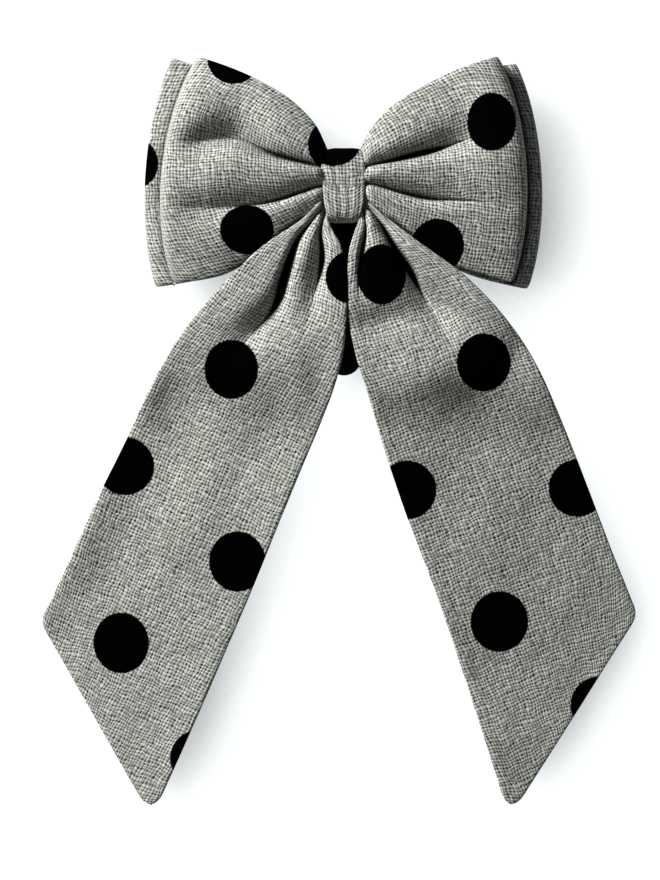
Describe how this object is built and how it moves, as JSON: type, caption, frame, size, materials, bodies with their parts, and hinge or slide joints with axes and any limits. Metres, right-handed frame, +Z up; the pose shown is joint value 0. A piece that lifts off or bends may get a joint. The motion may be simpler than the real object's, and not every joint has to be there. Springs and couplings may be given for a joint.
{
  "type": "hair bow",
  "caption": "Hair bow of grey dotted cloth: looped bow in front of a wider one, long pointed tails and a knot band, on a sprung alligator hair clip.",
  "frame": {"origin": "on the head-side plane of the clip, straight behind the middle of the knot band", "axes": "+X to the right as the front is seen, +Z up from the tails towards the top of the loops, -Y out of the front of the bow and +Y towards the head"},
  "size_m": [0.1895, 0.0337, 0.2386],
  "materials": {
    "cloth": "matt, plain basket weave with printed black dots",
    "interfacing": "matt, non-woven",
    "thread": "matt",
    "felt": "matt felt",
    "ribbon": "ribbed grosgrain",
    "grip": "matt, finely ribbed",
    "clip_steel": "satin black paint",
    "spring_wire": "drawn wire"
  },
  "bodies": {
    "bow": {"front_bow_face": "cloth", "front_bow_interfacing": "interfacing", "front_bow_lining": "cloth", "rear_bow_face": "cloth", "rear_bow_interfacing": "interfacing", "rear_bow_lining": "cloth", "tail_gather": "cloth", "binding_thread": "thread", "knot_band": "cloth", "felt_patch": "felt", "outer_jaw": "clip_steel", "jaw_ribbon": "ribbon", "hinge_pin": "clip_steel", "torsion_spring": "spring_wire"},
    "jaw": {"spring_jaw": "clip_steel", "grip_strip": "grip"},
    "left_tail": {"left_tail_face": "cloth", "left_tail_interfacing": "interfacing", "left_tail_lining": "cloth"},
    "right_tail": {"right_tail_face": "cloth", "right_tail_interfacing": "interfacing", "right_tail_lining": "cloth"}
  },
  "joints": [
    {"name": "jaw_hinge", "type": "hinge", "parent": "bow", "child": "jaw", "pos_m": [0, -0.0034, -0.009], "axis": [1, 0, 0], "range_deg": [0, 26], "stiffness_Nm_per_rad": 0.12, "springref_deg": -34.38, "deforming": ["torsion_spring"]},
    {"name": "left_tail_lift", "type": "hinge", "parent": "bow", "child": "left_tail", "pos_m": [0, -0.0274, -0.014], "axis": [-1, 0, 0], "range_deg": [0, 75]},
    {"name": "right_tail_lift", "type": "hinge", "parent": "bow", "child": "right_tail", "pos_m": [0, -0.0274, -0.014], "axis": [-1, 0, 0], "range_deg": [0, 75]}
  ]
}
